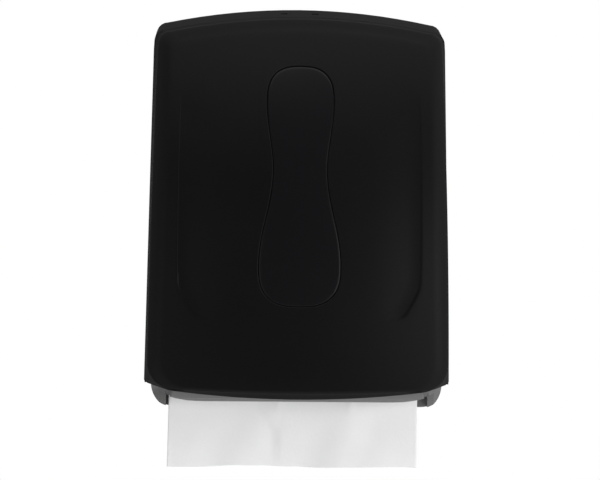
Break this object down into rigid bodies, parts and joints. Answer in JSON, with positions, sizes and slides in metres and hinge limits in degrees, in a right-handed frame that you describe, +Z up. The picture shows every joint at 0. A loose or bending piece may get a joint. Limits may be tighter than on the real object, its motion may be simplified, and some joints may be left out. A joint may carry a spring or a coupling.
{
  "type": "folded towel dispenser",
  "caption": "Wall-mounted folded paper towel dispenser with a bowed hinged cover, bone-shaped level window, key latch and slotted tray.",
  "frame": {"origin": "middle of the wall face, on the plane that lies against the wall", "axes": "+Y into the wall, -Y towards the user, +X to the user's right, +Z up"},
  "size_m": [0.284, 0.1279, 0.431],
  "materials": {
    "cover_plastic": "satin black moulded ABS",
    "window_plastic": "smoked black polycarbonate",
    "housing_plastic": "fine textured black ABS",
    "tray_plastic": "mid grey moulded ABS",
    "guide_plastic": "dark moulded plastic",
    "latch_plastic": "dark acetal",
    "plate_steel": "zinc plated sheet",
    "fastener_steel": "zinc plated",
    "spring_steel": "spring wire",
    "towel_paper": "bleached embossed tissue"
  },
  "bodies": {
    "housing": {"back_housing": "housing_plastic", "lock_plate": "plate_steel", "lock_plate_screws": "fastener_steel", "left_towel_guide": "guide_plastic", "right_towel_guide": "guide_plastic", "guide_screws": "fastener_steel", "dispensing_tray": "tray_plastic", "tray_screws": "fastener_steel", "hinge_pin_left": "fastener_steel", "hinge_pin_right": "fastener_steel", "hinge_clip_left": "spring_steel", "hinge_clip_right": "spring_steel", "towel_stack": "towel_paper", "latch_spring_left": "spring_steel", "latch_spring_right": "spring_steel"},
    "cover": {"front_cover": "cover_plastic", "level_window": "window_plastic", "window_clips": "spring_steel", "cover_catch": "plate_steel", "catch_screws": "fastener_steel"},
    "latch": {"latch_bar": "latch_plastic", "latch_clips": "fastener_steel"},
    "towel": {"hanging_towel": "towel_paper"}
  },
  "joints": [
    {"name": "cover_hinge", "type": "hinge", "parent": "housing", "child": "cover", "pos_m": [0, -0.024, -0.1565], "axis": [1, 0, 0], "range_deg": [0, 55]},
    {"name": "latch_slide", "type": "slide", "parent": "housing", "child": "latch", "axis": [0, 0, -1], "range_m": [0, 0.005], "stiffness_N_per_m": 1500, "springref_m": -0.004, "deforming": ["latch_spring_left", "latch_spring_right"]},
    {"name": "towel_pull", "type": "slide", "parent": "housing", "child": "towel", "axis": [0, 0, -1], "range_m": [0, 0.03]}
  ]
}
